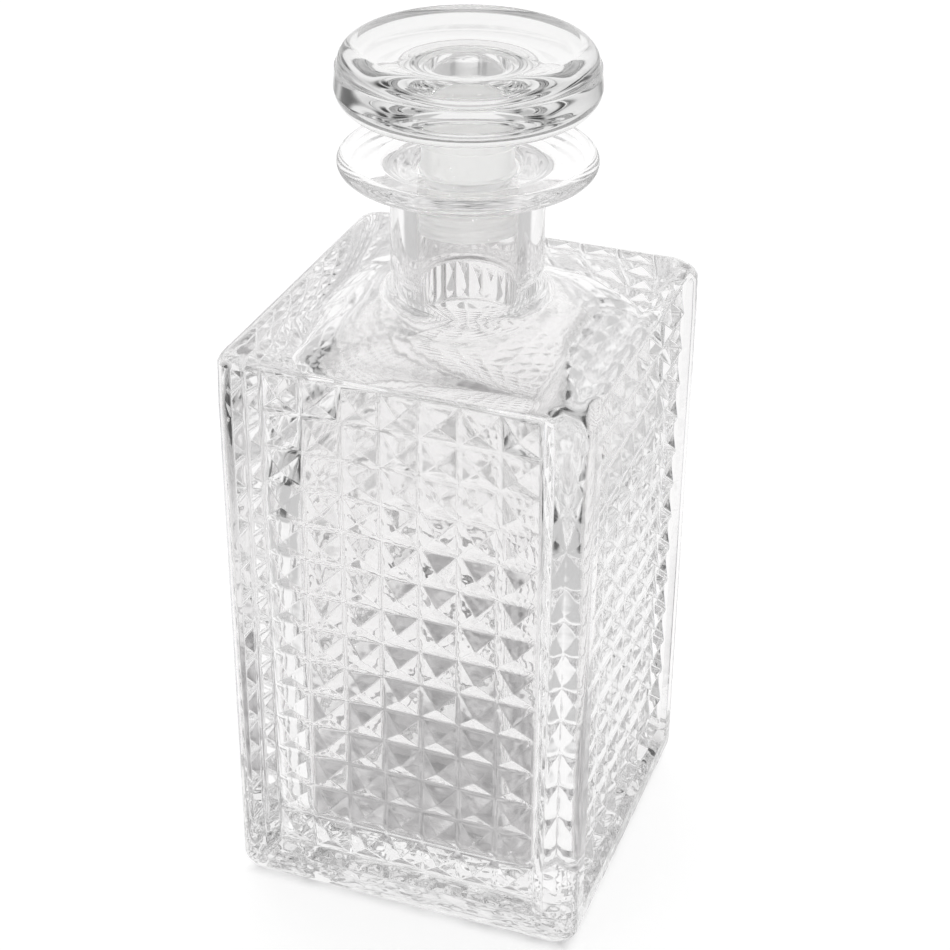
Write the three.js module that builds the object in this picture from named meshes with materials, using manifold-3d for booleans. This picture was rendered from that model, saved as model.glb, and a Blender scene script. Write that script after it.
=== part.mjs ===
// A square cut crystal decanter: the bottle, its glass stopper and the ribbed seal on the stopper's plug.
// Units are millimetres and +Z is up. The origin is the centre of the base, and the front face looks along -Y.

import * as THREE from 'three';
import { mergeVertices } from 'three/addons/utils/BufferGeometryUtils.js';
import Module from 'manifold-3d';

// Driving dimensions of the bottle.
const BODY_WIDTH = 90;
const BODY_HEIGHT = 150.8;
const EDGE_RADIUS = 4.9;
const TOP_FILLET = 5.1;
const FOOT_FILLET = 6.3;
const SHOULDER_RISE = 3.2;
const NECK_RADIUS = 17.8;
const NECK_FILLET = 3.6;
const BORE_RADIUS = 11.7;
const MOUTH_DEPTH = 5.6;
const MOUTH_ROUNDING = 2.6;
const COLLAR_RADIUS = 29.7;
const COLLAR_THICKNESS = 4.4;
const COLLAR_MIDDLE_Z = 186.5;
const WALL = 7;
const FLOOR_THICKNESS = 14;
const CAVITY_EDGE_RADIUS = 14;
const CAVITY_FLOOR_FILLET = 10;
const SHOULDER_THICKNESS = 6.6;
const DOME_DROP = 40;
const THROAT_FILLET = 6;

// Driving dimensions of the cut pattern, which is the same on all four faces.
const PATTERN_COLUMNS = 7;
const PATTERN_ROWS = 14;
const PATTERN_PITCH = 9.53;
const PATTERN_FOOT_Z = 13.7;
const GROOVE_DEPTH = 2.15;
const GROOVE_FLOOR_WIDTH = 1;
const BORDER_SLOPE_WIDTH = 3;
const TIP_CLEARANCE = 0.1;
const STUD_OVERLAP = 0.4;
const CUTTER_OVERRUN = 2;

// Driving dimensions of the stopper and its seal.
const HEAD_RADIUS = 30;
const HEAD_HALF_THICKNESS = 7.4;
const HEAD_MIDDLE_Z = 206.4;
const HEAD_RIM_RADIUS = 5.5;
const HEAD_DISH = 0.9;
const HEAD_DISH_EDGE = 4;
const HEAD_SEAM_DROP = 4.8;
const HEAD_SEAM_TAPER = 0.4;
const HEAD_SEAM_STEP = 0.3;
const STALK_RADIUS = 11.4;
const STALK_FLARE = 6.2;
const PLUG_TOP_RADIUS = 9.6;
const PLUG_TIP_RADIUS = 8.9;
const PLUG_TIP_Z = 171.4;
const PLUG_TIP_ROUNDING = 1.2;
const SEAL_FOOT_Z = 170.9;
const SEAL_TOP_Z = 195.4;
const SEAL_FLANGE_HEIGHT = 3.4;
const SEAL_FLANGE_RADIUS = 13.2;
const SEAL_FLANGE_BEVEL = 0.6;
const SEAL_SLEEVE_RADIUS = 10.6;
const SEAL_RIB_RADIUS = 11.3;
const SEAL_RIB_COUNT = 6;
const SEAL_RIB_PITCH = 2.5;
const SEAL_RIB_START = 1;
const SEAL_RIB_CREST = 0.5;
const SEAL_RIB_SLOPE = 0.55;
const FIT_GAP = 0.3;

// Fineness of the curved stretches.
const CORNER_STEPS = 9;
const TURN_STEPS = 36;
const ARC_STEPS = 5;
const TIP_STEPS = 3;
const SHOULDER_STEPS = 6;
const DOME_STEPS = 8;

const HALF_WIDTH = BODY_WIDTH / 2;
const COLLAR_TOP_Z = COLLAR_MIDDLE_Z + COLLAR_THICKNESS / 2;

const CRYSTAL = { color: 0xe9edf0, roughness: 0.04, metalness: 0 };
const SEAL_PLASTIC = { color: 0xf1f1ec, roughness: 0.45, metalness: 0 };

const wasm = await Module();
wasm.setup();

// Points of an elliptical arc in the half-section: [distance from the axis, height].
function ellipse(centreR, centreZ, radiusR, radiusZ, fromDegrees, toDegrees, steps = ARC_STEPS) {
  const points = [];
  for (let i = 0; i <= steps; i += 1) {
    const angle = THREE.MathUtils.degToRad(fromDegrees + ((toDegrees - fromDegrees) * i) / steps);
    points.push([centreR + radiusR * Math.cos(angle), centreZ + radiusZ * Math.sin(angle)]);
  }
  return points;
}

function arc(centreR, centreZ, radius, fromDegrees, toDegrees, steps = ARC_STEPS) {
  return ellipse(centreR, centreZ, radius, radius, fromDegrees, toDegrees, steps);
}

// One level of the loft: a square of the given half-width whose corners have the given radius.
function squareRing(half, cornerRadius, z) {
  const ring = [];
  const centre = half - cornerRadius;
  for (let corner = 0; corner < 4; corner += 1) {
    const start = (corner * Math.PI) / 2;
    const cx = centre * Math.SQRT2 * Math.cos(start + Math.PI / 4);
    const cy = centre * Math.SQRT2 * Math.sin(start + Math.PI / 4);
    for (let i = 0; i <= CORNER_STEPS; i += 1) {
      const angle = start + ((Math.PI / 2) * i) / CORNER_STEPS;
      ring.push(cx + cornerRadius * Math.cos(angle), cy + cornerRadius * Math.sin(angle), z);
    }
  }
  return ring;
}

// A closed surface through the levels, whose first and last levels shrink to a point on the axis.
function loft(levels) {
  const count = 4 * (CORNER_STEPS + 1);
  const positions = [0, 0, levels[0].z];
  for (const level of levels) {
    positions.push(...squareRing(level.half, level.corner, level.z));
  }
  const last = 1 + levels.length * count;
  positions.push(0, 0, levels[levels.length - 1].z);
  const indices = [];
  for (let i = 0; i < count; i += 1) {
    const next = (i + 1) % count;
    indices.push(0, 1 + next, 1 + i);
    for (let k = 0; k + 1 < levels.length; k += 1) {
      const low = 1 + k * count;
      const high = low + count;
      indices.push(low + i, low + next, high + next, low + i, high + next, high + i);
    }
    const top = last - count;
    indices.push(top + i, top + next, last);
  }
  const geometry = new THREE.BufferGeometry();
  geometry.setAttribute('position', new THREE.Float32BufferAttribute(positions, 3));
  geometry.setIndex(indices);
  return geometry;
}

// Merges the shared vertices, drops the triangles that this leaves with no area, and makes a solid.
function solidFrom(geometry) {
  const bare = geometry.clone();
  bare.deleteAttribute('normal');
  bare.deleteAttribute('uv');
  const merged = mergeVertices(bare, 1e-4);
  const source = merged.index.array;
  const kept = [];
  for (let i = 0; i < source.length; i += 3) {
    const [a, b, c] = source.slice(i, i + 3);
    if (a !== b && b !== c && c !== a) {
      kept.push(a, b, c);
    }
  }
  const vertProperties = new Float32Array(merged.attributes.position.array);
  const triVerts = new Uint32Array(kept);
  return new wasm.Manifold(new wasm.Mesh({ numProp: 3, vertProperties, triVerts }));
}

function geometryFrom(solid) {
  const mesh = solid.getMesh();
  const geometry = new THREE.BufferGeometry();
  geometry.setAttribute('position', new THREE.BufferAttribute(mesh.vertProperties, 3));
  geometry.setIndex(new THREE.BufferAttribute(mesh.triVerts, 1));
  geometry.computeVertexNormals();
  return geometry;
}

// The outside of the bottle, from the middle of the base to the rim of the collar.
function outerLevels() {
  const foot = arc(HALF_WIDTH - FOOT_FILLET, FOOT_FILLET, FOOT_FILLET, -90, 0);
  const edge = arc(HALF_WIDTH - TOP_FILLET, BODY_HEIGHT - TOP_FILLET, TOP_FILLET, 0, 90);
  const square = [...foot, ...edge].map(([half, z]) => ({ half, corner: EDGE_RADIUS, z }));

  const shoulderEdge = HALF_WIDTH - TOP_FILLET;
  const neckFoot = NECK_RADIUS + NECK_FILLET;
  const shoulder = [];
  for (let i = 1; i < SHOULDER_STEPS; i += 1) {
    const t = i / SHOULDER_STEPS;
    const half = THREE.MathUtils.lerp(shoulderEdge, neckFoot, t);
    const corner = THREE.MathUtils.lerp(EDGE_RADIUS, neckFoot, t * t);
    shoulder.push({ half, corner, z: BODY_HEIGHT + SHOULDER_RISE * t * t });
  }

  const shoulderTop = BODY_HEIGHT + SHOULDER_RISE;
  const collarFootZ = COLLAR_MIDDLE_Z - COLLAR_THICKNESS / 2;
  const rimRadius = COLLAR_THICKNESS / 2;
  const round = [
    ...arc(neckFoot, shoulderTop + NECK_FILLET, NECK_FILLET, 270, 180),
    ...arc(neckFoot, collarFootZ - NECK_FILLET, NECK_FILLET, 180, 90),
    ...arc(COLLAR_RADIUS - rimRadius, COLLAR_MIDDLE_Z, rimRadius, -90, 90),
  ].map(([half, z]) => ({ half, corner: half, z }));
  return [...square, ...shoulder, ...round];
}

// The inside of the bottle, from the mouth down the bore to the middle of the cavity floor.
function innerLevels() {
  const mouthZ = COLLAR_TOP_Z - MOUTH_DEPTH;
  const mouth = arc(BORE_RADIUS + MOUTH_ROUNDING, mouthZ, MOUTH_ROUNDING, 100, 180);
  const ceilingZ = BODY_HEIGHT - SHOULDER_THICKNESS;
  const throatHalf = BORE_RADIUS + THROAT_FILLET;
  const throat = arc(throatHalf, ceilingZ + THROAT_FILLET, THROAT_FILLET, 180, 270);
  const round = [...mouth, ...throat].map(([half, z]) => ({ half, corner: half, z }));

  // The ceiling is a dome that turns from the round throat into the square cavity as it falls.
  const cavityHalf = HALF_WIDTH - WALL;
  const dome = [];
  for (let i = 1; i <= DOME_STEPS; i += 1) {
    const angle = (i * Math.PI) / (2 * DOME_STEPS);
    const half = THREE.MathUtils.lerp(throatHalf, cavityHalf, Math.sin(angle));
    const corner = THREE.MathUtils.lerp(throatHalf, CAVITY_EDGE_RADIUS, Math.sin(angle));
    dome.push({ half, corner, z: ceilingZ - DOME_DROP * (1 - Math.cos(angle)) });
  }
  const floorZ = FLOOR_THICKNESS + CAVITY_FLOOR_FILLET;
  const bottom = arc(cavityHalf - CAVITY_FLOOR_FILLET, floorZ, CAVITY_FLOOR_FILLET, 0, -90);
  const square = bottom.map(([half, z]) => ({ half, corner: CAVITY_EDGE_RADIUS, z }));
  return [...round, ...dome, ...square];
}

// The sunk panel of one face: a block with sloping sides, widest at the face, that looks along -Y.
function panelCutter() {
  const slope = BORDER_SLOPE_WIDTH / GROOVE_DEPTH;
  const halfColumns = (PATTERN_COLUMNS * PATTERN_PITCH + GROOVE_FLOOR_WIDTH) / 2;
  const halfRows = (PATTERN_ROWS * PATTERN_PITCH + GROOVE_FLOOR_WIDTH) / 2;
  const spread = slope * (GROOVE_DEPTH + CUTTER_OVERRUN);
  const block = new THREE.BoxGeometry(2 * halfColumns, GROOVE_DEPTH + CUTTER_OVERRUN, 2 * halfRows);
  const position = block.attributes.position;
  for (let i = 0; i < position.count; i += 1) {
    if (position.getY(i) < 0) {
      position.setX(i, position.getX(i) + Math.sign(position.getX(i)) * spread);
      position.setZ(i, position.getZ(i) + Math.sign(position.getZ(i)) * spread);
    }
  }
  const middleZ = PATTERN_FOOT_Z + (PATTERN_ROWS * PATTERN_PITCH) / 2;
  block.translate(0, -HALF_WIDTH + (GROOVE_DEPTH - CUTTER_OVERRUN) / 2, middleZ);
  return block;
}

// One pointed stud, with its tip just inside the face plane and its foot sunk below the groove floor.
function stud(column, row) {
  const footHalf = (PATTERN_PITCH - GROOVE_FLOOR_WIDTH) / 2;
  const rise = GROOVE_DEPTH - TIP_CLEARANCE;
  const height = rise + STUD_OVERLAP;
  const radius = (footHalf * Math.SQRT2 * height) / rise;
  const point = new THREE.ConeGeometry(radius, height, 4, 1);
  point.rotateY(Math.PI / 4);
  point.rotateX(Math.PI);
  const x = (column - (PATTERN_COLUMNS - 1) / 2) * PATTERN_PITCH;
  const z = PATTERN_FOOT_Z + (row + 0.5) * PATTERN_PITCH;
  point.translate(x, -HALF_WIDTH + TIP_CLEARANCE + height / 2, z);
  return point;
}

// The bottle, hollow inside and sunk and studded on all four faces.
function bottleGeometry() {
  let solid = solidFrom(loft([...outerLevels(), ...innerLevels()]));
  const panel = panelCutter();
  const studs = [];
  for (let column = 0; column < PATTERN_COLUMNS; column += 1) {
    for (let row = 0; row < PATTERN_ROWS; row += 1) {
      studs.push(stud(column, row));
    }
  }
  for (let side = 0; side < 4; side += 1) {
    const turn = (side * Math.PI) / 2;
    solid = solid.subtract(solidFrom(panel.clone().rotateZ(turn)));
    for (const point of studs) {
      solid = solid.add(solidFrom(point.clone().rotateZ(turn)));
    }
  }
  return geometryFrom(solid);
}

// A piece turned about +Z from a half-section.
function turned(profile) {
  const points = profile.map(([r, z]) => new THREE.Vector2(r, z));
  return new THREE.LatheGeometry(points, TURN_STEPS).rotateX(Math.PI / 2);
}

// The stopper turns about +Z: a thick round head with a fine seam around it, a flared stalk and a tapered plug.
function stopperGeometry() {
  const headFootZ = HEAD_MIDDLE_Z - HEAD_HALF_THICKNESS;
  const headTopZ = HEAD_MIDDLE_Z + HEAD_HALF_THICKNESS;
  const rimR = HEAD_RADIUS - HEAD_RIM_RADIUS;
  const tipR = PLUG_TIP_RADIUS - PLUG_TIP_ROUNDING;
  const seatZ = SEAL_TOP_Z + FIT_GAP;
  const flareR = STALK_RADIUS + STALK_FLARE;
  const seamR = HEAD_RADIUS - HEAD_SEAM_TAPER;
  const seamZ = headTopZ - HEAD_SEAM_DROP;
  const crownR = seamR - HEAD_SEAM_STEP - rimR;
  return turned([
    [0, PLUG_TIP_Z],
    ...arc(tipR, PLUG_TIP_Z + PLUG_TIP_ROUNDING, PLUG_TIP_ROUNDING, -90, 0, TIP_STEPS),
    [PLUG_TOP_RADIUS, seatZ],
    ...ellipse(flareR, seatZ, STALK_FLARE, headFootZ - seatZ, 180, 90),
    ...arc(rimR, headFootZ + HEAD_RIM_RADIUS, HEAD_RIM_RADIUS, -90, 0),
    [seamR, seamZ - HEAD_SEAM_STEP],
    ...ellipse(rimR, seamZ, crownR, HEAD_SEAM_DROP, 0, 90),
    [rimR - HEAD_DISH_EDGE, headTopZ - HEAD_DISH],
    [0, headTopZ - HEAD_DISH],
  ]);
}

// The seal is a sleeve that is open at both ends, with a flange on top and a row of ribs below.
function sealGeometry() {
  const innerTop = PLUG_TOP_RADIUS + FIT_GAP;
  const innerFoot = PLUG_TIP_RADIUS + FIT_GAP;
  const ribs = [];
  for (let i = 0; i < SEAL_RIB_COUNT; i += 1) {
    const z = SEAL_FOOT_Z + SEAL_RIB_START + SEAL_RIB_PITCH * i;
    const crest = SEAL_RIB_CREST / 2;
    const root = crest + SEAL_RIB_SLOPE;
    ribs.push([SEAL_SLEEVE_RADIUS, z - root]);
    ribs.push([SEAL_RIB_RADIUS, z - crest]);
    ribs.push([SEAL_RIB_RADIUS, z + crest]);
    ribs.push([SEAL_SLEEVE_RADIUS, z + root]);
  }
  const flangeFootZ = SEAL_TOP_Z - SEAL_FLANGE_HEIGHT;
  const flangeInset = SEAL_FLANGE_RADIUS - SEAL_FLANGE_BEVEL;
  return turned([
    [innerFoot, SEAL_FOOT_Z],
    [SEAL_SLEEVE_RADIUS, SEAL_FOOT_Z],
    ...ribs,
    [SEAL_SLEEVE_RADIUS, flangeFootZ],
    [flangeInset, flangeFootZ],
    [SEAL_FLANGE_RADIUS, flangeFootZ + SEAL_FLANGE_BEVEL],
    [SEAL_FLANGE_RADIUS, SEAL_TOP_Z - SEAL_FLANGE_BEVEL],
    [flangeInset, SEAL_TOP_Z],
    [innerTop, SEAL_TOP_Z],
    [innerFoot, SEAL_FOOT_Z],
  ]);
}

function namedMesh(name, geometry, finish) {
  const mesh = new THREE.Mesh(geometry, new THREE.MeshStandardMaterial(finish));
  mesh.name = name;
  return mesh;
}

const decanter = new THREE.Group();
const stopperGroup = new THREE.Group();
stopperGroup.add(namedMesh('stopper', stopperGeometry(), CRYSTAL));
stopperGroup.add(namedMesh('stopper_seal', sealGeometry(), SEAL_PLASTIC));
decanter.add(namedMesh('bottle', bottleGeometry(), CRYSTAL));
decanter.add(stopperGroup);

export default decanter;
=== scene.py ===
"""A square cut crystal decanter with a round stopper in a ribbed seal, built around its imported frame."""

import math

import bpy
import numpy as np
from mathutils import Matrix, Vector


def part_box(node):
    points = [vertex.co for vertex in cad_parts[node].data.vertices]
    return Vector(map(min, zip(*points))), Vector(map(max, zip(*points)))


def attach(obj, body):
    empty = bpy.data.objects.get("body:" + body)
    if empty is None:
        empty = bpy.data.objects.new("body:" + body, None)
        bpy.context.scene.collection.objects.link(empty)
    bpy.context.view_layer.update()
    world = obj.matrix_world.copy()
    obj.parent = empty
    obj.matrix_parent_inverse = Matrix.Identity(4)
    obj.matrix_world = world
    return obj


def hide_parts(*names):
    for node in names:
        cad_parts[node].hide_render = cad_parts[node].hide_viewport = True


bl_info = {
    "name": "Cut Crystal Decanter",
    "version": (1, 0, 0),
    "blender": (4, 5, 0),
    "location": "3D View > Sidebar > Decanter",
    "description": "Builds a cut crystal decanter, its stopper and its seal around their packed frame",
    "category": "Object",
}

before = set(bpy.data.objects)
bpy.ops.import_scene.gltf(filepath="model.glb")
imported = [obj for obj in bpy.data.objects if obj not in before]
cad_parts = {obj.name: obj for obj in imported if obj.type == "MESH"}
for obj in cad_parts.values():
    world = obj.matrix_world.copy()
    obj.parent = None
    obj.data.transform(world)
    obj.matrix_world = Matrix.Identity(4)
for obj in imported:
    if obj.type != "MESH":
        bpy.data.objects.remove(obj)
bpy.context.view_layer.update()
BOTTLE_LOW, BOTTLE_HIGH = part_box("bottle")
STOPPER_LOW, STOPPER_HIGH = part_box("stopper")
SEAL_LOW, SEAL_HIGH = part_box("stopper_seal")
MM = 0.001
QUARTER = math.pi / 2
PLAY = 0.3 * MM  # the clearance around the plug and above the seal


# ---------------------------------------------------------------- settings


def length(name, description, default):
    """A size in metres that a user may change."""
    return bpy.props.FloatProperty(
        name=name, description=description, default=default, min=0.0, unit="LENGTH", precision=5
    )


def share(name, description, default, most=1.0):
    """A plain number between nothing and its most."""
    return bpy.props.FloatProperty(
        name=name, description=description, default=default, min=0.0, max=most
    )


def colour(name, description, default):
    """A colour that a user may change."""
    return bpy.props.FloatVectorProperty(
        name=name, description=description, default=default,
        subtype="COLOR", size=3, min=0.0, max=1.0,
    )


class BottleSettings(bpy.types.PropertyGroup):
    """Sizes of the bottle, outside and inside."""

    width: length("Width", "Width of the square body", BOTTLE_HIGH.x - BOTTLE_LOW.x)
    shoulder_z: length("Shoulder height", "Height of the shoulder's edge", 150.8 * MM)
    edge_radius: length("Edge radius", "Radius of the upright edges", 4.9 * MM)
    top_fillet: length("Top fillet", "Radius of the edge between the faces and the shoulder", 5.1 * MM)
    foot_fillet: length("Foot fillet", "Radius of the edge around the base", 6.3 * MM)
    shoulder_rise: length("Shoulder rise", "How far the shoulder climbs to the neck", 3.2 * MM)
    neck_radius: length("Neck radius", "Outer radius of the neck", 17.8 * MM)
    neck_fillet: length("Neck fillet", "Radius where the neck meets the shoulder and the collar", 3.6 * MM)
    bore_radius: length("Bore radius", "Radius of the bore", 11.7 * MM)
    mouth_depth: length("Mouth depth", "Height of the dished mouth", 5.6 * MM)
    collar_radius: length("Collar radius", "Radius of the collar", 29.7 * MM)
    collar_thickness: length("Collar thickness", "Thickness of the collar at its rim", 4.4 * MM)
    wall: length("Wall", "Thickness of the walls, studs included", 7.0 * MM)
    floor: length("Floor", "Thickness of the base", 14.0 * MM)
    shoulder_thickness: length("Shoulder thickness", "Thickness of the shoulder", 6.6 * MM)
    cavity_edge: length("Cavity edge", "Radius of the cavity's upright edges", 14.0 * MM)
    cavity_foot: length("Cavity foot", "Radius around the cavity's floor", 10.0 * MM)
    throat_fillet: length("Throat fillet", "Radius where the bore opens into the cavity", 6.0 * MM)
    dome_drop: length("Dome drop", "How far the cavity's domed ceiling falls from the throat", 40.0 * MM)


class StudSettings(bpy.types.PropertyGroup):
    """Sizes of the pointed studs cut into each face."""

    columns: bpy.props.IntProperty(name="Columns", description="Studs across a face", default=7, min=1)
    rows: bpy.props.IntProperty(name="Rows", description="Studs up a face", default=14, min=1)
    pitch: length("Pitch", "Distance from stud to stud", 9.53 * MM)
    foot_z: length("Foot height", "Height at which the lowest studs begin", 13.7 * MM)
    depth: length("Depth", "Depth of the grooves below the face", 2.15 * MM)
    groove_floor: length("Groove floor", "Width of the flat bottom of a groove", 1.0 * MM)
    border_slope: length("Border slope", "Width of the slope around the cut panel", 3.0 * MM)
    ridge_radius: length("Ridge radius", "Rounding of the ridges", 0.35 * MM)
    tip_radius: length("Tip radius", "Half-width of the blunt tip", 0.45 * MM)
    foot_radius: length("Foot radius", "Half-width of the rounding at the foot", 0.35 * MM)


class StopperSettings(bpy.types.PropertyGroup):
    """Sizes of the stopper and of the seal on its plug."""

    head_radius: length("Head radius", "Radius of the head", 30.0 * MM)
    head_thickness: length("Head thickness", "Thickness of the head", 14.8 * MM)
    rim_radius: length("Rim radius", "Rounding of the head's rim", 5.5 * MM)
    seam_drop: length("Seam drop", "Depth of the seam line below the top of the head", 4.8 * MM)
    seam_step: length("Seam step", "Width of the ledge at the seam line", 0.5 * MM)
    seam_groove: length("Seam groove", "Depth of the fine groove behind the ledge", 0.15 * MM)
    dish: length("Dish", "How far the middle of the head sinks below its rim", 0.9 * MM)
    stalk_radius: length("Stalk radius", "Radius of the stalk under the head", 11.4 * MM)
    stalk_flare: length("Stalk flare", "How far the stalk spreads to meet the head", 6.2 * MM)
    plug_top: length("Plug top radius", "Radius of the plug under the head", 9.6 * MM)
    plug_tip: length("Plug tip radius", "Radius of the plug at its end", 8.9 * MM)
    flange_radius: length("Flange radius", "Radius of the seal's flange", 13.2 * MM)
    flange_height: length("Flange height", "Height of the seal's flange", 3.4 * MM)
    sleeve_radius: length("Sleeve radius", "Radius of the seal between its ribs", 10.6 * MM)
    rib_radius: length("Rib radius", "Radius of the seal over its ribs", 11.3 * MM)
    rib_pitch: length("Rib pitch", "Distance from rib to rib", 2.5 * MM)
    rib_count: bpy.props.IntProperty(name="Ribs", description="Ribs on the seal", default=6, min=1)


class FinishSettings(bpy.types.PropertyGroup):
    """Colours and polish."""

    crystal: colour("Crystal", "Tint of the crystal", (0.935, 0.93, 0.93))
    # Greyer tint of the foot: partly the thick glass's own grey, partly painted shade.
    thick_and_shaded_crystal: colour("Thick crystal", "Tint of the crystal in the thick foot", (0.795, 0.79, 0.79))
    stopper: colour("Stopper", "Tint of the stopper's crystal", (0.85, 0.848, 0.845))
    crystal_roughness: share("Crystal roughness", "Roughness of the polished crystal", 0.0)
    cavity_roughness: share("Cavity roughness", "Roughness of the blown inner surface", 0.04)
    crystal_index: bpy.props.FloatProperty(
        name="Refractive index", description="How strongly the crystal bends light", default=1.54, min=1.0
    )
    waviness: length("Waviness", "Height of the slow waves in the pressed glass", 0.03 * MM)
    seal: colour("Seal", "Colour of the seal", (0.99, 0.99, 0.98))
    # Painted light: the seal's emission makes it glow as if lit through, though it is no lamp.
    seal_painted_glow: share("Seal glow", "How much light the seal gathers and gives off", 0.2)
    floor: colour("Floor", "Colour of the light table", (0.45, 0.45, 0.45))
    # Painted shadow: the colour and the glow left under the bottle paint the bottle's shadow on the table.
    shade: colour("Shade", "Colour of the light table where the bottle covers it", (0.5, 0.48, 0.5))
    shade_glow: share("Shade glow", "How much of the table's glow is left under the bottle", 0.5)
    floor_glow: share("Floor glow", "How much light comes up through the table", 0.8)


class StageSettings(bpy.types.PropertyGroup):
    """The camera and the light."""

    azimuth: bpy.props.FloatProperty(
        name="Azimuth", description="Turn of the camera about the upright axis, 0 at the front",
        default=math.radians(20.1), subtype="ANGLE",
    )
    elevation: bpy.props.FloatProperty(
        name="Elevation", description="Height of the camera above the horizon",
        default=math.radians(30.49), subtype="ANGLE",
    )
    roll: bpy.props.FloatProperty(
        name="Roll", description="Tilt of the picture", default=math.radians(0.45), subtype="ANGLE"
    )
    distance: length("Distance", "Distance of the camera from its aim", 0.530)
    aim: bpy.props.FloatVectorProperty(
        name="Aim", description="Where the camera looks, from the middle of the base",
        default=(0.002, 0.0007, 0.1037), subtype="XYZ", unit="LENGTH", precision=5,
    )
    lens: bpy.props.FloatProperty(
        name="Focal length", description="Focal length of the camera", default=82.13, unit="CAMERA"
    )
    backdrop: share("Backdrop light", "Brightness of the wall behind", 1.1, most=10.0)
    surround: share("Surround light", "Brightness of everything else around", 0.6, most=10.0)
    card: share("Card strength", "How dark the dark cards are", 0.95)


SETTINGS = {
    "decanter_bottle": BottleSettings,
    "decanter_studs": StudSettings,
    "decanter_stopper": StopperSettings,
    "decanter_finish": FinishSettings,
    "decanter_stage": StageSettings,
}


# ---------------------------------------------------------------- shader maths


class Wire:
    """A number socket that takes part in Python expressions by adding Math nodes."""

    def __init__(self, bench, socket):
        self.bench = bench
        self.socket = socket

    def _maths(self, operation, first, second):
        return self.bench.add("ShaderNodeMath", {"operation": operation}, {0: first, 1: second})

    def __add__(self, other):
        return self._maths("ADD", self, other)

    __radd__ = __add__

    def __mul__(self, other):
        return self._maths("MULTIPLY", self, other)

    __rmul__ = __mul__

    def __sub__(self, other):
        return self._maths("SUBTRACT", self, other)

    def __rsub__(self, other):
        return self._maths("SUBTRACT", other, self)


class Bench:
    """Adds nodes to one shader tree and joins them up."""

    def __init__(self, tree):
        self.tree = tree
        tree.nodes.clear()

    def add(self, kind, settings=None, inputs=None, output=0):
        """Makes a node, sets it up, gives its sockets values or links, and returns the output asked for."""
        node = self.tree.nodes.new(kind)
        for name, value in (settings or {}).items():
            setattr(node, name, value)
        for key, value in (inputs or {}).items():
            if isinstance(value, Wire):
                self.tree.links.new(value.socket, node.inputs[key])
            else:
                node.inputs[key].default_value = value
        return Wire(self, node.outputs[output]) if node.outputs else None


def new_material(name):
    """An empty material and the bench for its tree."""
    material = bpy.data.materials.new(name)
    material.use_nodes = True
    return material, Bench(material.node_tree)


# ---------------------------------------------------------------- mesh maths


class Shell:
    """Points and faces of a mesh while it is being made."""

    def __init__(self):
        self.points = []
        self.faces = []

    def add(self, points):
        """Keeps the points and returns their numbers."""
        start = len(self.points)
        self.points.extend(points)
        return list(range(start, len(self.points)))

    def band(self, low, high):
        """Joins two closed rings that have the same count."""
        for i in range(len(low)):
            j = (i + 1) % len(low)
            self.faces.append((low[i], low[j], high[j], high[i]))

    def fan(self, ring, centre, outward=True):
        """Closes a ring on one point."""
        for i in range(len(ring)):
            j = (i + 1) % len(ring)
            self.faces.append((ring[i], ring[j], centre) if outward else (ring[j], ring[i], centre))

    def zip_rings(self, low, low_angles, high, high_angles):
        """Joins two closed rings of different counts, both sorted by angle."""
        i = 0
        j = 0
        while i < len(low) or j < len(high):
            next_low = low_angles[i] if i < len(low) else math.inf
            next_high = high_angles[j] if j < len(high) else math.inf
            here = low[i % len(low) - 1] if i else low[-1]
            there = high[j % len(high) - 1] if j else high[-1]
            if next_low <= next_high:
                self.faces.append((here, low[i], there))
                i += 1
            else:
                self.faces.append((here, high[j], there))
                j += 1

    def make(self, name, material):
        """Turns the points and faces into an object with area-weighted normals."""
        mesh = bpy.data.meshes.new(name)
        mesh.from_pydata(self.points, [], self.faces)
        mesh.validate()
        mesh.shade_smooth()
        mesh.materials.append(material)
        weight_normals(mesh)
        thing = bpy.data.objects.new(name, mesh)
        bpy.context.scene.collection.objects.link(thing)
        return thing


def weight_normals(mesh):
    """Gives each point the mean of its faces' normals, weighted by area, so that flat facets stay flat."""
    count = len(mesh.vertices)
    sums = np.zeros((count, 3))
    for polygon in mesh.polygons:
        weighted = np.array(polygon.normal) * polygon.area
        for vertex in polygon.vertices:
            sums[vertex] += weighted
    lengths = np.linalg.norm(sums, axis=1)
    lengths[lengths == 0] = 1
    mesh.normals_split_custom_set_from_vertices(sums / lengths[:, None])


def arc(centre_r, centre_z, radius, start, end, steps):
    """Points of an arc in the half-section, as (distance from the axis, height); angles in degrees."""
    angles = np.radians(np.linspace(start, end, steps + 1))
    return [(centre_r + radius * math.cos(a), centre_z + radius * math.sin(a)) for a in angles]


def square_radius(angle, half, corner):
    """Distance from the axis to a square outline with rounded corners, along an angle."""
    off = abs((angle + QUARTER / 2) % QUARTER - QUARTER / 2)
    flat = half - corner
    if math.tan(off) * half <= flat:
        return half / math.cos(off)
    along = flat * (math.cos(off) + math.sin(off))
    return along + math.sqrt(max(along * along - 2 * flat * flat + corner * corner, 0))


def square_ring(angles, half, corner, z):
    """One level of a loft, sampled at the angles."""
    ring = []
    for angle in angles:
        r = square_radius(angle, half, corner)
        ring.append((r * math.cos(angle), r * math.sin(angle), z))
    return ring


def eased(x, rounding):
    """The larger of x and nothing, with its bend rounded."""
    if x <= -rounding:
        return 0.0
    if x >= rounding:
        return x
    return (x + rounding) ** 2 / (4 * rounding)


def lerp(a, b, t):
    """The value a share t of the way from a to b."""
    return a + (b - a) * t


# ---------------------------------------------------------------- bottle


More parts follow.
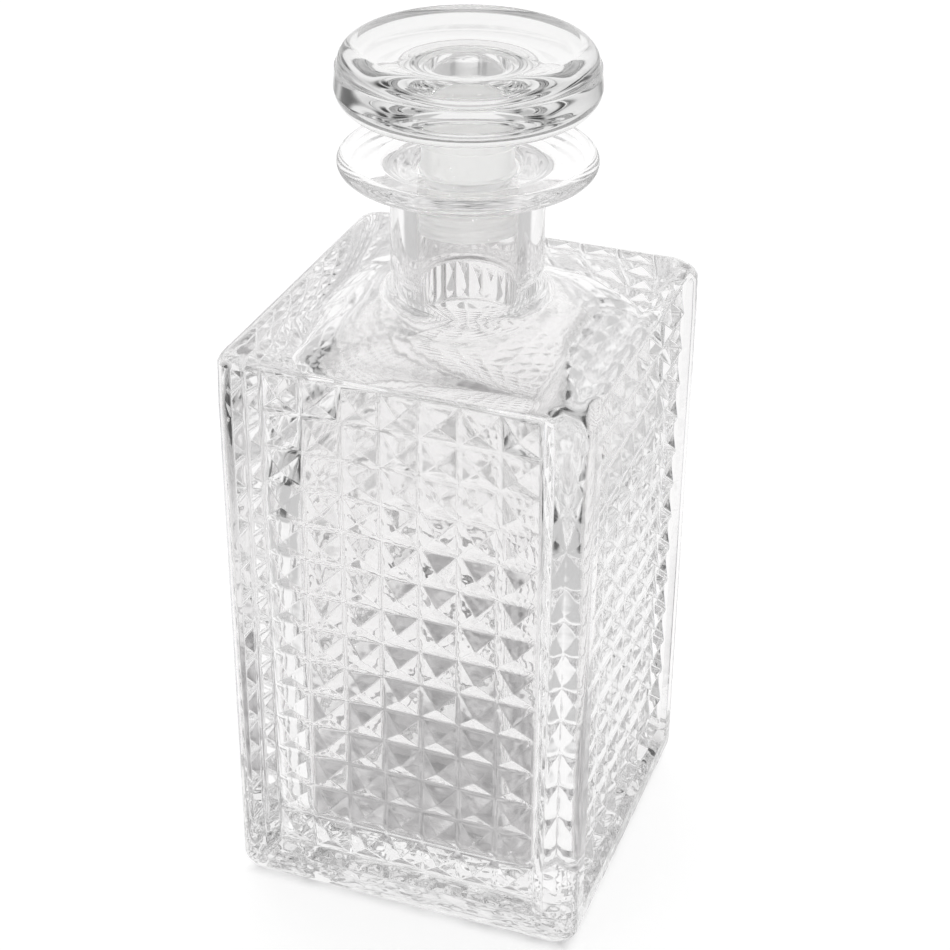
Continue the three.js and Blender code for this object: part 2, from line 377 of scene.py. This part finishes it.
class StuddedBody:
    """The square body: its upright grid, the sunk panels and their studs."""

    EASE = 0.3 * MM  # rounding of the bends around a panel
    FLAT = 0.001 * MM  # how far out of true a face may be and still count as flat
    CORNER_STEPS = 8
    FOOT_STEPS = 8
    TOP_STEPS = 14
    LEVELS_TO_RIM = 2  # levels of a panel's top slope that come before the rounded top edge
    FOOT_SHARES = (1, 1 / 3, -1 / 3, -1)  # rings over a stud's rounded foot, in foot radii
    TIP_SHARES = (1, 0.7, 0.4, 0.15)  # rings over its blunt tip, in tip radii

    def __init__(self, shell, bottle, studs):
        self.shell = shell
        self.bottle = bottle
        self.studs = studs
        self.half = bottle.width / 2
        self.panel_half = studs.columns * studs.pitch / 2
        self.panel_top = studs.foot_z + studs.rows * studs.pitch
        self.slope_offsets = self._slope_offsets()
        self.columns = self._column_places()
        self.levels = self._level_heights()

    def _slope_offsets(self):
        """Places across the slope around a panel, measured outward from the outermost groove's middle."""
        foot = self.studs.groove_floor / 2
        top = foot + self.studs.border_slope
        around = (-self.EASE, 0.0, self.EASE)
        return [foot + a for a in around] + [top + a for a in around]

    def _column_places(self):
        """Places across one face, from edge to edge."""
        pitch = self.studs.pitch
        lines = [(i - self.studs.columns / 2) * pitch for i in range(self.studs.columns + 1)]
        right = [self.panel_half + o for o in self.slope_offsets]
        edge = self.half - self.bottle.edge_radius
        return [-edge] + [-u for u in reversed(right)] + lines + right + [edge]

    def _level_heights(self):
        """Heights of the body's levels, from the foot fillet to the shoulder's edge."""
        b = self.bottle
        foot_angles = np.linspace(0, QUARTER, self.FOOT_STEPS + 1)
        foot = [b.foot_fillet * (1 - math.cos(a)) for a in foot_angles]
        low = [self.studs.foot_z - o for o in reversed(self.slope_offsets)]
        rows = [self.studs.foot_z + i * self.studs.pitch for i in range(self.studs.rows + 1)]
        start = b.shoulder_z - b.top_fillet
        rim = rows[-1] + self.slope_offsets[self.LEVELS_TO_RIM]
        top_angles = np.linspace(math.asin((rim - start) / b.top_fillet), QUARTER, self.TOP_STEPS + 1)
        top = [start + b.top_fillet * math.sin(a) for a in top_angles]
        bottom = [z for z in foot if z < low[0]]
        return bottom + low + rows + [rows[-1] + o for o in self.slope_offsets[: self.LEVELS_TO_RIM]] + top

    def half_at(self, z):
        """Half-width of the body at a height, fillets included."""
        b = self.bottle
        over = z - (b.shoulder_z - b.top_fillet)
        under = b.foot_fillet - z
        if over > 0:
            return self.half - b.top_fillet + math.sqrt(max(b.top_fillet**2 - over**2, 0))
        if under > 0:
            return self.half - b.foot_fillet + math.sqrt(max(b.foot_fillet**2 - under**2, 0))
        return self.half

    def sink(self, u, z):
        """Depth of the sunk panel below the face."""
        s = self.studs
        out = max(abs(u) - self.panel_half, s.foot_z - z, z - self.panel_top) - s.groove_floor / 2
        slope = s.depth / s.border_slope
        return slope * (eased(s.border_slope - out, self.EASE) - eased(-out, self.EASE))

    def build(self):
        """Adds the body to the shell and returns its first and last rings, and the angles of their points."""
        angles = []
        places = []
        for side in range(4):
            middle = (side - 1) * QUARTER
            for u in self.columns:
                angles.append(middle + math.atan2(u, self.half))
                places.append((side, u))
            first = angles[-1]
            last = middle + QUARTER - math.atan2(self.columns[-1], self.half)
            for step in range(1, self.CORNER_STEPS):
                angles.append(lerp(first, last, step / self.CORNER_STEPS))
                places.append(None)
        rings = [self._ring(angles, places, z) for z in self.levels]
        self._panels(rings)
        return rings[0], rings[-1], angles

    def _ring(self, angles, places, z):
        """One level of the body, pushed in where a panel is sunk into a face."""
        half = self.half_at(z)
        points = square_ring(angles, half, self.bottle.edge_radius, z)
        for i, place in enumerate(places):
            if place is None:
                continue
            side, u = place
            depth = self.sink(u, z)
            inset = self.half - half
            if depth > 0:
                normal = Vector((math.cos((side - 1) * QUARTER), math.sin((side - 1) * QUARTER), 0))
                push = eased(depth - inset, self.EASE) if inset > 0 else depth
                points[i] = tuple(Vector(points[i]) - normal * push)
        return self.shell.add(points)

    def _panels(self, rings):
        """Joins the rings with faces, and puts a stud in each cell of the pattern."""
        per_side = len(self.columns) + self.CORNER_STEPS - 1
        first_column = len(self.slope_offsets) + 1
        first_row = self.levels.index(self.studs.foot_z)
        count = 4 * per_side
        for k in range(len(rings) - 1):
            row = k - first_row
            for i in range(count):
                side, place = divmod(i, per_side)
                column = place - first_column
                j = (i + 1) % count
                corners = (rings[k][i], rings[k][j], rings[k + 1][j], rings[k + 1][i])
                if 0 <= row < self.studs.rows and 0 <= column < self.studs.columns:
                    self._stud(side, column, row, corners)
                else:
                    self._facet(corners)

    def _facet(self, corners):
        """A face of the grid, split along its steeper diagonal where it isn't flat."""
        a, b, c, d = (Vector(self.shell.points[i]) for i in corners)
        out = (b - a).cross(d - a).normalized()
        if abs((c - a).dot(out)) < self.FLAT:
            self.shell.faces.append(corners)
            return
        i, j, k, m = corners
        across = abs((c - a).normalized().dot(out))
        other = abs((d - b).normalized().dot(out))
        if across >= other:
            self.shell.faces.extend([(i, j, k), (i, k, m)])
        else:
            self.shell.faces.extend([(i, j, m), (j, k, m)])

    def _stud(self, side, column, row, corners):
        """A four-sided point with rounded ridges, a blunt tip and a rounded foot, standing in its cell."""
        s = self.studs
        foot = (s.pitch - s.groove_floor) / 2
        slope = s.depth / foot
        rings = []
        for t in self.FOOT_SHARES:
            reach = foot + s.foot_radius * t
            rings.append((reach, slope * eased(foot - reach, s.foot_radius)))
        for t in self.TIP_SHARES:
            reach = s.tip_radius * t
            rings.append((reach, s.depth - slope * (reach**2 / s.tip_radius + s.tip_radius) / 2))
        u = (column - (s.columns - 1) / 2) * s.pitch
        z = s.foot_z + (row + 0.5) * s.pitch
        turn = Matrix.Rotation(side * QUARTER, 3, "Z")
        placed = []
        for reach, height in rings:
            corner = min(s.ridge_radius, reach)
            points = []
            for quarter in range(4):
                middle = (reach - corner) * math.sqrt(2)
                cu = middle * math.cos((quarter + 0.5) * QUARTER)
                cz = middle * math.sin((quarter + 0.5) * QUARTER)
                for step in range(4):
                    angle = (quarter + step / 3) * QUARTER
                    across = u + cu + corner * math.cos(angle)
                    up = z + cz + corner * math.sin(angle)
                    points.append(tuple(turn @ Vector((across, -self.half + s.depth - height, up))))
            placed.append(self.shell.add(points))
        for low, high in zip(placed, placed[1:]):
            self.shell.band(low, high)
        tip_height = s.depth - slope * s.tip_radius / 2
        tip = turn @ Vector((u, -self.half + s.depth - tip_height, z))
        self.shell.fan(placed[-1], self.shell.add([tuple(tip)])[0])
        outer = (corners[2], corners[3], corners[0], corners[1])
        for quarter in range(4):
            arc_points = placed[0][4 * quarter : 4 * quarter + 4]
            for a, b in zip(arc_points, arc_points[1:]):
                self.shell.faces.append((outer[quarter], b, a))
            after = (quarter + 1) % 4
            following = placed[0][4 * after]
            self.shell.faces.append((outer[quarter], outer[after], following, arc_points[-1]))


def outer_round_levels(b, collar_z):
    """Levels from the shoulder's edge over the collar to the mouth, as (half-width, corner, height)."""
    edge = b.width / 2 - b.top_fillet
    foot = b.neck_radius + b.neck_fillet
    levels = []
    for t in np.linspace(0, 1, 25)[1:-1]:
        half = lerp(edge, foot, t)
        levels.append((half, lerp(b.edge_radius, foot, t * t), b.shoulder_z + b.shoulder_rise * t * t))
    top = b.shoulder_z + b.shoulder_rise
    rim = b.collar_thickness / 2
    neck_top = collar_z - rim - b.neck_fillet
    sections = [
        arc(foot, top + b.neck_fillet, b.neck_fillet, 270, 180, 12),
        [(b.neck_radius, z) for z in np.linspace(top + b.neck_fillet, neck_top, 8)[1:-1]],
        arc(foot, neck_top, b.neck_fillet, 180, 90, 12),
        arc(b.collar_radius - rim, collar_z, rim, -90, 90, 16),
    ]
    return levels + [(r, r, z) for section in sections for r, z in section]


def inner_levels(b, collar_z):
    """Levels down the bore and the cavity to its floor, as (half-width, corner, height)."""
    mouth_rounding = 2.6 * MM
    mouth_z = collar_z + b.collar_thickness / 2 - b.mouth_depth
    ceiling = b.shoulder_z - b.shoulder_thickness
    throat = b.throat_fillet
    throat_half = b.bore_radius + throat
    sections = [
        arc(b.bore_radius + mouth_rounding, mouth_z, mouth_rounding, 100, 180, 10),
        [(b.bore_radius, z) for z in np.linspace(mouth_z, ceiling + throat, 10)[1:-1]],
        arc(throat_half, ceiling + throat, throat, 180, 270, 12),
    ]
    levels = [(r, r, z) for section in sections for r, z in section]
    half = b.width / 2 - b.wall
    for t in np.linspace(0, 1, 23)[1:]:
        spread = math.sin(t * QUARTER)
        drop = b.dome_drop * (1 - math.cos(t * QUARTER))
        corner = lerp(throat_half, b.cavity_edge, spread)
        levels.append((lerp(throat_half, half, spread), corner, ceiling - drop))
    foot = arc(half - b.cavity_foot, b.floor + b.cavity_foot, b.cavity_foot, 0, -90, 14)
    between = [(half, z) for z in np.linspace(ceiling - b.dome_drop, foot[0][1], 10)[1:-1]]
    return levels + [(size, b.cavity_edge, z) for size, z in between + foot]


def build_bottle(b, studs, material):
    """The whole bottle as one closed skin, from the base over the outside and down the inside."""
    shell = Shell()
    first, last, angles = StuddedBody(shell, b, studs).build()
    base = shell.add([(0, 0, 0)])[0]
    shell.fan(first, base, outward=False)
    around = 176
    even = [angles[0] + 2 * math.pi * (i + 0.5) / around for i in range(around)]
    collar_z = BOTTLE_HIGH.z - b.collar_thickness / 2
    levels = outer_round_levels(b, collar_z) + inner_levels(b, collar_z)
    rings = [shell.add(square_ring(even, *level)) for level in levels]
    shell.zip_rings(last, angles, rings[0], even)
    for low, high in zip(rings, rings[1:]):
        shell.band(low, high)
    shell.fan(rings[-1], shell.add([(0, 0, levels[-1][2])])[0])
    return shell.make("bottle_crystal", material)


# ---------------------------------------------------------------- turned pieces


def turned(name, profile, material, closed, around=160):
    """A piece turned about the upright axis from (radius, height) points, from foot to top on the outside."""
    shell = Shell()
    angles = [2 * math.pi * i / around for i in range(around)]
    inner = profile if closed else profile[1:-1]
    rings = [shell.add([(r * math.cos(a), r * math.sin(a), z) for a in angles]) for r, z in inner]
    for low, high in zip(rings, rings[1:]):
        shell.band(low, high)
    if closed:
        shell.band(rings[-1], rings[0])
    else:
        shell.fan(rings[0], shell.add([(0, 0, profile[0][1])])[0], outward=False)
        shell.fan(rings[-1], shell.add([(0, 0, profile[-1][1])])[0])
    return shell.make(name, material)


def stopper_profile(s):
    """Half-section of the stopper from the plug's end to the middle of the head."""
    top = STOPPER_HIGH.z
    end = STOPPER_LOW.z
    foot = top - s.head_thickness
    seat = SEAL_HIGH.z + PLAY
    rim_r = s.head_radius - s.rim_radius
    tip = 1.2 * MM
    flare_r = s.stalk_radius + s.stalk_flare
    seam_z = top - s.seam_drop
    seam_r = s.head_radius - 0.4 * MM
    crown_r = seam_r - s.seam_step
    groove_half = 0.25 * MM
    groove_edge = 0.33 * MM
    bevel = 0.02 * MM
    flare = [
        (flare_r - s.stalk_flare * math.cos(a), seat + (foot - seat) * math.sin(a))
        for a in np.linspace(0, QUARTER, 13)
    ]
    crown = [
        (lerp(rim_r, crown_r, math.cos(a)), lerp(seam_z + groove_edge, top, math.sin(a)))
        for a in np.linspace(0, QUARTER, 15)
    ]
    dished = [(rim_r * t, top - s.dish * (1 - t * t) ** 0.5) for t in np.linspace(1, 0, 14)[1:]]
    return [
        (0, end),
        *[((s.plug_tip - tip) * t, end) for t in (0.3, 0.6, 0.85)],
        *arc(s.plug_tip - tip, end + tip, tip, -90, 0, 8),
        *[(lerp(s.plug_tip, s.plug_top, t), lerp(end + tip, seat, t)) for t in (0.3, 0.6, 0.95)],
        (s.plug_top, seat),
        *flare,
        *[(lerp(flare_r, rim_r, t), foot) for t in (0.2, 0.5, 0.8)],
        *arc(rim_r, foot + s.rim_radius, s.rim_radius, -90, 0, 14),
        (lerp(s.head_radius, seam_r, 0.5), lerp(foot + s.rim_radius, seam_z, 0.5)),
        (seam_r + bevel, seam_z - groove_edge),
        (seam_r, seam_z - groove_half),
        (crown_r - s.seam_groove, seam_z),
        (crown_r, seam_z + groove_half),
        *crown,
        *dished,
    ]


def seal_profile(s):
    """Closed half-section of the seal: flange, ribbed sleeve and inner wall."""
    foot = SEAL_LOW.z
    top = SEAL_HIGH.z
    end_taper = 0.4 * MM
    rib_half = 0.8 * MM
    rib_fullness = 0.7
    first_rib = 0.4 * s.rib_pitch
    fillet = 0.8 * MM
    rounding = 0.6 * MM
    flange_foot = top - s.flange_height
    outer = [(s.sleeve_radius - end_taper, foot)]
    for i in range(s.rib_count):
        z = foot + first_rib + s.rib_pitch * i
        for t in np.linspace(-1, 1, 9):
            bulge = math.cos(t * QUARTER) ** rib_fullness if abs(t) < 1 else 0
            outer.append((lerp(s.sleeve_radius, s.rib_radius, bulge), z + rib_half * t))
    return [
        (s.plug_tip + PLAY, foot),
        *outer,
        (s.sleeve_radius, flange_foot - 1.0 * MM),
        *arc(s.sleeve_radius + fillet, flange_foot - fillet, fillet, 180, 90, 5),
        *arc(s.flange_radius - rounding, flange_foot + rounding, rounding, -90, 0, 6),
        *arc(s.flange_radius - rounding, top - rounding, rounding, 0, 90, 6),
        (s.plug_top + PLAY, top),
    ]


# ---------------------------------------------------------------- materials


# Where the pressed glass changes, as heights above the base.
FOOT_FADE = (9 * MM, 18 * MM)
CEILING_FADE = (110 * MM, 125 * MM)
CAVITY_HEIGHTS = (12 * MM, 148 * MM)
CAVITY_REACH = 40 * MM

# How much the finer waves add to the slow ones: outside, on the cavity's skin and in the foot.
OUTER_RIPPLE = 0.25
INNER_RIPPLE = 5.0
FOOT_RIPPLE = 20.0

# Waves to the metre in the glass, the seal, the table's grain and the painted caustic light on the table, and
# how much flatter the foot's waves lie.
SLOW_WAVES = 70.0
FINE_WAVES = 260.0
FOOT_WAVES = 130.0
FOOT_SQUASH = 2.5
SEAL_GRAIN = 900.0
TABLE_GRAIN = 400.0
PAINTED_CAUSTIC_WAVES = 110.0

# Roughness that the ceiling and the foot add to the polish.
CEILING_HAZE = 0.08
FOOT_HAZE = 0.02

# The light table: where its front and its right side lie, where the painted shadow of the bottle lies on it,
# where its glow fades ahead and aside and what is left there, and how strongly the painted caustic light in
# that shadow varies.
TABLE_FRONT = (0.344, -0.939, 0.0)
TABLE_RIGHT = (0.939, 0.344, 0.0)
PAINTED_SHADOW_REACH = (37 * MM, 45 * MM)
FRONT_FADE = (80 * MM, 280 * MM)
SIDE_FADE = (125 * MM, 200 * MM)
SIDE_SPREAD = 0.19
EDGE_GLOW = 0.45
CAUSTIC_GAIN = 3
CAUSTIC_BASE = 0.15

# How many degrees from the middle of the wall behind its light starts to fade and has faded.
BACK_WALL = (30, 80)

# Dark cards around the table: the way to each, and the degrees from it at which it starts to fade and ends.
DARK_CARDS = (
    ((0.579, 0.741, 0.342), 3, 10),
    ((-0.811, 0.114, 0.574), 4, 12),
    ((0.30, -0.81, 0.45), 20, 45),
    ((0.94, 0.344, 0.3), 8, 20),
    ((-0.94, -0.344, 0.3), 8, 20),
)


def absolute(bench, value):
    """The size of a number without its sign."""
    return bench.add("ShaderNodeMath", {"operation": "ABSOLUTE"}, {0: value})


def below(bench, value, limit):
    """1 where a number is under its limit, and 0 elsewhere."""
    return bench.add("ShaderNodeMath", {"operation": "LESS_THAN"}, {0: value, 1: limit})


def ramp(bench, value, band, low, high):
    """Turns a distance into a number that eases from low at the band's start to high at its end."""
    return bench.add(
        "ShaderNodeMapRange",
        {"interpolation_type": "SMOOTHSTEP"},
        {"Value": value, "From Min": band[0], "From Max": band[1], "To Min": low, "To Max": high},
    )


def project(bench, place, direction):
    """How far a place or a ray reaches along a direction."""
    return bench.add("ShaderNodeVectorMath", {"operation": "DOT_PRODUCT"}, {0: place, 1: direction}, 1)


def noise(bench, place, scale, detail):
    """Noise between 0 and 1, with this many waves to the metre."""
    return bench.add("ShaderNodeTexNoise", {}, {"Vector": place, "Scale": scale, "Detail": detail})


def part(bench, place, axis):
    """One coordinate of a place: 0 for X, 1 for Y and 2 for Z."""
    return bench.add("ShaderNodeSeparateXYZ", {}, {0: place}, axis)


def mix_colours(bench, factor, first, second):
    """The first colour where the factor is 0 and the second where it is 1."""
    colours = {0: factor, 6: (*first, 1.0), 7: (*second, 1.0)}
    return bench.add("ShaderNodeMix", {"data_type": "RGBA"}, colours, 2)


def largest(bench, place):
    """How far a place is out from the upright axis, measured as half of a square."""
    x = absolute(bench, part(bench, place, 0))
    y = absolute(bench, part(bench, place, 1))
    return bench.add("ShaderNodeMath", {"operation": "MAXIMUM"}, {0: x, 1: y})


def cavity_mask(bench, place):
    """1 on the walls, ceiling and floor of the cavity, and 0 on the outside of the bottle."""
    z = part(bench, place, 2)
    floor, roof = CAVITY_HEIGHTS
    walls = below(bench, largest(bench, place), CAVITY_REACH)
    return walls * below(bench, z, roof) * (1.0 - below(bench, z, floor))


def close_tree(bench, kind, output, inputs):
    """Adds the last shader of a tree and the output that it feeds."""
    shader = bench.add(kind, {}, inputs)
    bench.add(output, {}, {"Surface": shader})


def crystal_material(name, finish, tint, hollow):
    """Polished crystal with the slow waves of pressed glass, rougher in the cavity and greyer in the foot,
    where the grey is partly the thick glass's own and partly painted shade.
    """
    material, bench = new_material(name)
    place = bench.add("ShaderNodeTexCoord", output="Object")
    slow = noise(bench, place, SLOW_WAVES, 2.0)
    fine = noise(bench, place, FINE_WAVES, 1.0)
    if hollow:
        z = part(bench, place, 2)
        inside = cavity_mask(bench, place)
        foot = ramp(bench, z, FOOT_FADE, 1.0, 0.0)
        ceiling = ramp(bench, z, CEILING_FADE, 0.0, 1.0)
        squat = bench.add("ShaderNodeMapping", {}, {"Vector": place, "Scale": (1.0, 1.0, FOOT_SQUASH)})
        dashes = noise(bench, squat, FOOT_WAVES, 1.0)
        height = slow + fine * (OUTER_RIPPLE + inside * INNER_RIPPLE) + dashes * foot * FOOT_RIPPLE
        haze = inside * (finish.cavity_roughness + ceiling * CEILING_HAZE) + foot * FOOT_HAZE
        rough = finish.crystal_roughness + haze
        # Partly painted shade: the foot's tint darkens the bottom of the bottle.
        body = mix_colours(bench, foot, tint, finish.thick_and_shaded_crystal)
    else:
        height = slow + fine * OUTER_RIPPLE
        rough = finish.crystal_roughness
        body = (*tint, 1.0)
    waves = {"Height": height, "Strength": 1.0, "Distance": finish.waviness}
    surface = {
        "Base Color": body,
        "Roughness": rough,
        "IOR": finish.crystal_index,
        "Transmission Weight": 1.0,
        "Normal": bench.add("ShaderNodeBump", {}, waves),
    }
    close_tree(bench, "ShaderNodeBsdfPrincipled", "ShaderNodeOutputMaterial", surface)
    return material


def seal_material(finish):
    """Soft translucent plastic, brightened by a painted glow from its emission."""
    material, bench = new_material("seal_plastic")
    place = bench.add("ShaderNodeTexCoord", output="Object")
    grain = noise(bench, place, SEAL_GRAIN, 3.0)
    bumps = {"Height": grain, "Strength": 0.3, "Distance": 0.02 * MM}
    surface = {
        "Base Color": (*finish.seal, 1.0),
        "Roughness": 0.2 + grain * 0.1,
        "IOR": 1.5,
        "Transmission Weight": 0.6,
        "Subsurface Weight": 1.0,
        "Subsurface Radius": (1.0, 1.0, 1.0),
        "Subsurface Scale": 4 * MM,
        # Painted glow standing in for light scattered through the seal.
        "Emission Color": (1.0, 1.0, 1.0, 1.0),
        "Emission Strength": finish.seal_painted_glow,
        "Normal": bench.add("ShaderNodeBump", {}, bumps),
    }
    close_tree(bench, "ShaderNodeBsdfPrincipled", "ShaderNodeOutputMaterial", surface)
    return material


def floor_material(finish):
    """A matt light table that glows, with a painted shadow of the bottle under it, lit in patches by painted
    caustic light, and dimmer far ahead and aside.
    """
    material, bench = new_material("floor_paper")
    place = bench.add("ShaderNodeTexCoord", output="Object")
    grain = noise(bench, place, TABLE_GRAIN, 2.0)
    painted_caustics = noise(bench, place, PAINTED_CAUSTIC_WAVES, 1.0)
    ahead = project(bench, place, TABLE_FRONT)
    aside = absolute(bench, project(bench, place, TABLE_RIGHT))
    # Painted shadow: the table's glow and colour change under the bottle, and painted caustic light brightens
    # it in patches.
    outside_painted_shadow = ramp(bench, largest(bench, place), PAINTED_SHADOW_REACH, 0.0, 1.0)
    glow = lerp(finish.shade_glow * CAUSTIC_GAIN * (painted_caustics - CAUSTIC_BASE), 1.0, outside_painted_shadow)
    ahead_glow = ramp(bench, ahead, FRONT_FADE, 1.0, EDGE_GLOW)
    aside_glow = ramp(bench, aside + ahead * SIDE_SPREAD, SIDE_FADE, 1.0, EDGE_GLOW)
    surface = {
        "Base Color": mix_colours(bench, outside_painted_shadow, finish.shade, finish.floor),
        "Roughness": 0.8 + grain * 0.1,
        "Emission Color": glow * ahead_glow * aside_glow,
        "Emission Strength": finish.floor_glow,
    }
    close_tree(bench, "ShaderNodeBsdfPrincipled", "ShaderNodeOutputMaterial", surface)
    return material


def towards(bench, ray, direction, inner, outer):
    """A mask that is 1 within the inner angle of a direction and 0 beyond the outer angle, in degrees."""
    band = (math.cos(math.radians(outer)), math.cos(math.radians(inner)))
    return ramp(bench, project(bench, ray, Vector(direction).normalized()), band, 0.0, 1.0)


def studio_world(stage):
    """Soft light from all around, brighter at the back wall, with dark cards that draw the glass's edges."""
    world = bpy.data.worlds.new("studio")
    world.use_nodes = True
    bench = Bench(world.node_tree)
    ray = bench.add("ShaderNodeTexCoord")
    back = towards(bench, ray, -Vector(TABLE_FRONT), *BACK_WALL)
    level = stage.surround + back * (stage.backdrop - stage.surround)
    for direction, inner, outer in DARK_CARDS:
        level = level * (1.0 - towards(bench, ray, direction, inner, outer) * stage.card)
    light = {"Color": (1.0, 1.0, 1.0, 1.0), "Strength": level}
    close_tree(bench, "ShaderNodeBackground", "ShaderNodeOutputWorld", light)
    return world


# ---------------------------------------------------------------- operators


class DecanterOperator:
    """What every step of the build shares."""

    bl_options = {"REGISTER", "UNDO"}


class DECANTER_OT_bottle(DecanterOperator, bpy.types.Operator):
    """Builds the studded bottle"""

    bl_idname = "decanter.bottle"
    bl_label = "Bottle"

    def execute(self, context):
        scene = context.scene
        finish = scene.decanter_finish
        material = crystal_material("crystal", finish, finish.crystal, hollow=True)
        bottle = build_bottle(scene.decanter_bottle, scene.decanter_studs, material)
        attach(bottle, "bottle")
        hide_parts("bottle")
        return {"FINISHED"}


class DECANTER_OT_stopper(DecanterOperator, bpy.types.Operator):
    """Builds the glass stopper"""

    bl_idname = "decanter.stopper"
    bl_label = "Stopper"

    def execute(self, context):
        scene = context.scene
        finish = scene.decanter_finish
        material = crystal_material("stopper_crystal", finish, finish.stopper, hollow=False)
        stopper = turned("stopper_glass", stopper_profile(scene.decanter_stopper), material, closed=False)
        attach(stopper, "stopper")
        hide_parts("stopper")
        return {"FINISHED"}


class DECANTER_OT_seal(DecanterOperator, bpy.types.Operator):
    """Builds the ribbed seal"""

    bl_idname = "decanter.seal"
    bl_label = "Seal"

    def execute(self, context):
        scene = context.scene
        material = seal_material(scene.decanter_finish)
        seal = turned("ribbed_seal", seal_profile(scene.decanter_stopper), material, closed=True)
        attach(seal, "seal")
        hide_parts("stopper_seal")
        return {"FINISHED"}


class DECANTER_OT_stage(DecanterOperator, bpy.types.Operator):
    """Lays the floor and sets the light"""

    bl_idname = "decanter.stage"
    bl_label = "Floor and light"

    FLOOR_REACH = 6.0
    FLOOR_GAP = 0.2 * MM
    BOUNCES = 64

    def execute(self, context):
        scene = context.scene
        floor = Shell()
        reach = self.FLOOR_REACH
        signs = ((-1, -1), (1, -1), (1, 1), (-1, 1))
        floor.faces.append(tuple(floor.add([(reach * x, reach * y, 0) for x, y in signs])))
        paper = floor.make("floor", floor_material(scene.decanter_finish))
        paper.location.z = -self.FLOOR_GAP
        scene.world = studio_world(scene.decanter_stage)
        scene.view_settings.view_transform = "Standard"
        scene.cycles.max_bounces = self.BOUNCES
        scene.cycles.transmission_bounces = self.BOUNCES
        scene.cycles.glossy_bounces = self.BOUNCES
        return {"FINISHED"}


class DECANTER_OT_camera(DecanterOperator, bpy.types.Operator):
    """Places the camera"""

    bl_idname = "decanter.camera"
    bl_label = "Camera"

    def execute(self, context):
        scene = context.scene
        stage = scene.decanter_stage
        a = stage.azimuth
        e = stage.elevation
        back = Vector((math.sin(a) * math.cos(e), -math.cos(a) * math.cos(e), math.sin(e)))
        right = (-back).cross(Vector((0, 0, 1))).normalized()
        up = right.cross(-back)
        basis = Matrix((right, up, back)).transposed()
        tilt = Matrix.Rotation(stage.roll, 3, "Z")
        data = bpy.data.cameras.new("camera")
        data.lens = stage.lens
        data.sensor_width = 36.0
        data.clip_start = 0.01
        camera = bpy.data.objects.new("camera", data)
        place = Vector(stage.aim) + back * stage.distance
        camera.matrix_world = Matrix.Translation(place) @ (basis @ tilt).to_4x4()
        scene.collection.objects.link(camera)
        scene.camera = camera
        return {"FINISHED"}


STEPS = (
    DECANTER_OT_camera,
    DECANTER_OT_bottle,
    DECANTER_OT_stopper,
    DECANTER_OT_seal,
    DECANTER_OT_stage,
)


class VIEW3D_PT_decanter(bpy.types.Panel):
    """Lists the steps of the build and its settings"""

    bl_label = "Decanter"
    bl_space_type = "VIEW_3D"
    bl_region_type = "UI"
    bl_category = "Decanter"

    def draw(self, context):
        """Draws a button for each step and a column for each group of settings."""
        for step in STEPS:
            self.layout.operator(step.bl_idname)
        for name in SETTINGS:
            settings = getattr(context.scene, name)
            column = self.layout.column(align=True)
            for prop in settings.bl_rna.properties:
                if not prop.is_readonly:
                    column.prop(settings, prop.identifier)


CLASSES = (*SETTINGS.values(), *STEPS, VIEW3D_PT_decanter)


def register():
    """Registers the classes and hangs the settings on the scene."""
    for cls in CLASSES:
        bpy.utils.register_class(cls)
    for name, group in SETTINGS.items():
        setattr(bpy.types.Scene, name, bpy.props.PointerProperty(type=group))


def unregister():
    """Takes the settings and the classes away again."""
    for name in SETTINGS:
        delattr(bpy.types.Scene, name)
    for cls in reversed(CLASSES):
        bpy.utils.unregister_class(cls)


def main():
    """Builds everything."""
    register()
    for step in STEPS:
        group, name = step.bl_idname.split(".")
        getattr(getattr(bpy.ops, group), name)()


if __name__ == "__main__":
    main()
